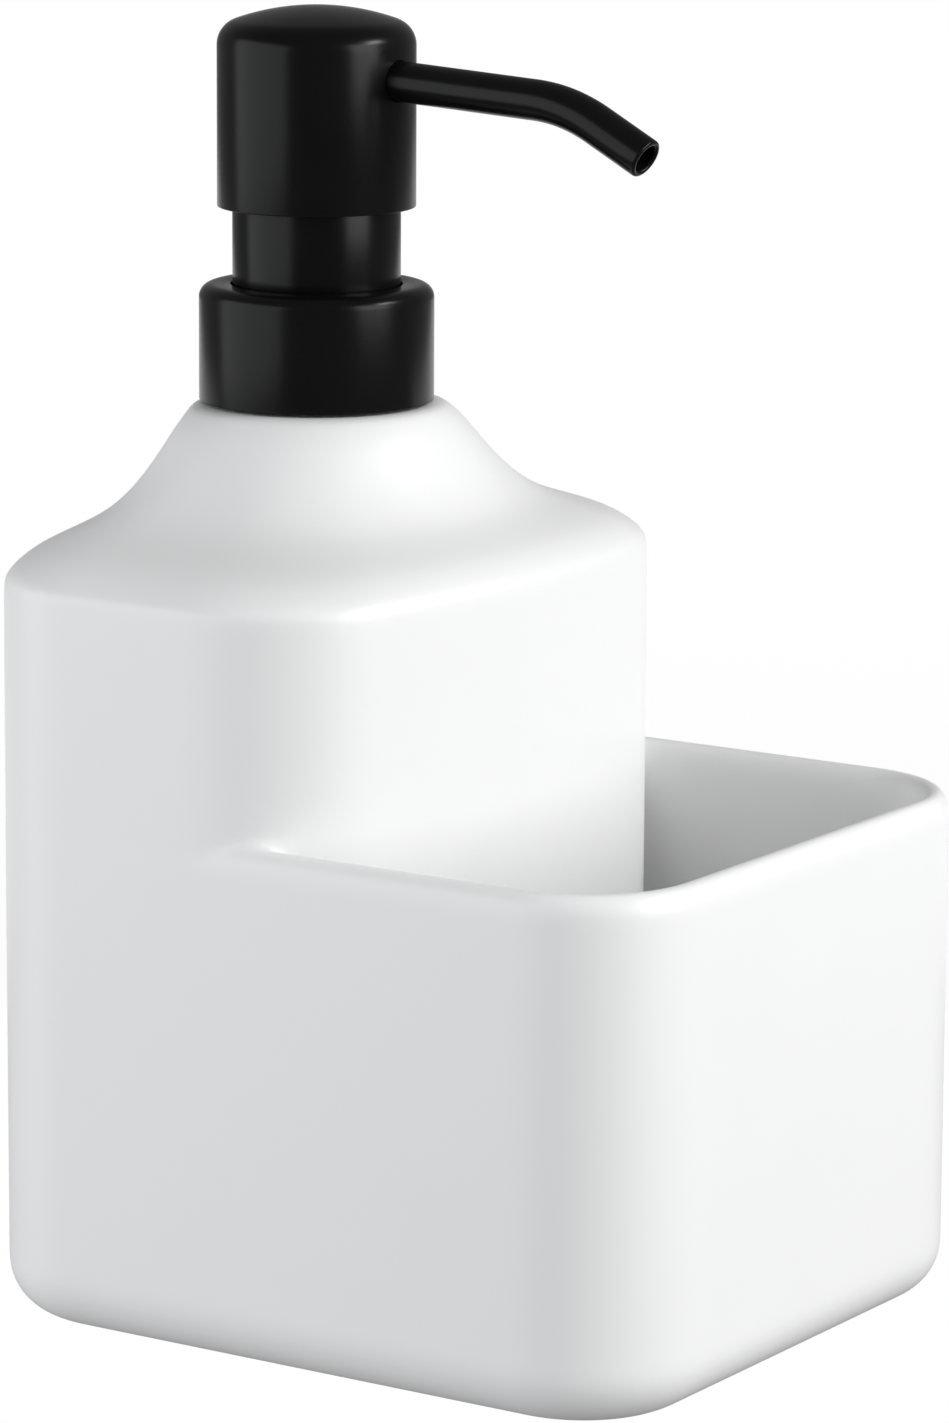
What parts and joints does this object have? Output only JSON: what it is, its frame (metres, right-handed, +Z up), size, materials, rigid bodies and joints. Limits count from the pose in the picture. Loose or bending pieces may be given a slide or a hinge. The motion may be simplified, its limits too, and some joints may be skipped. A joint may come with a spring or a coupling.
{
  "type": "soap dispenser with holder",
  "caption": "White glazed ceramic soap bottle with an open holder at its front and a black push pump whose bent spout turns and presses down.",
  "frame": {"origin": "centre of the footprint, on the plane that the foot rests on", "axes": "+Z up along the pump, +X from the bottle towards the open holder, which is the way the spout points at rest"},
  "size_m": [0.115, 0.102, 0.1892],
  "materials": {
    "glaze": "satin white glaze",
    "black_metal": "satin black coating",
    "black_plastic": "moulded",
    "clear_plastic": "natural translucent",
    "gasket": "soft",
    "seal": "waxy",
    "steel": "drawn wire and polished ball"
  },
  "bodies": {
    "vessel": {"ceramic_body": "glaze", "neck_thread_ring": "clear_plastic"},
    "pump": {"pump_housing": "clear_plastic", "dip_tube": "clear_plastic", "neck_gasket": "gasket", "chaplet": "clear_plastic", "guide_sleeve": "black_metal", "valve_cage": "clear_plastic", "return_spring": "steel"},
    "closure": {"collar_shell": "black_metal", "collar_insert": "black_plastic"},
    "plunger": {"stem": "clear_plastic", "piston_rod": "clear_plastic", "piston_seal": "seal"},
    "head": {"head_shell": "black_metal", "actuator_core": "black_plastic", "spout_tube": "black_metal"},
    "ball": {"check_ball": "steel"}
  },
  "joints": [
    {"name": "pump_lift", "type": "slide", "parent": "vessel", "child": "pump", "axis": [0, 0, 1], "range_m": [0, 0.14]},
    {"name": "collar_turn", "type": "hinge", "parent": "pump", "child": "closure", "pos_m": [-0.029, 0, 0.14], "axis": [0, 0, 1], "range_deg": [0, 540]},
    {"name": "head_press", "type": "slide", "parent": "pump", "child": "plunger", "axis": [0, 0, -1], "range_m": [0, 0.0109], "stiffness_N_per_m": 800, "springref_m": -0.012, "deforming": ["return_spring"]},
    {"name": "spout_swivel", "type": "hinge", "parent": "plunger", "child": "head", "pos_m": [-0.029, 0, 0.17], "axis": [0, 0, 1], "continuous": true},
    {"name": "ball_lift", "type": "slide", "parent": "pump", "child": "ball", "axis": [0, 0, 1], "range_m": [0, 0.0012]}
  ]
}
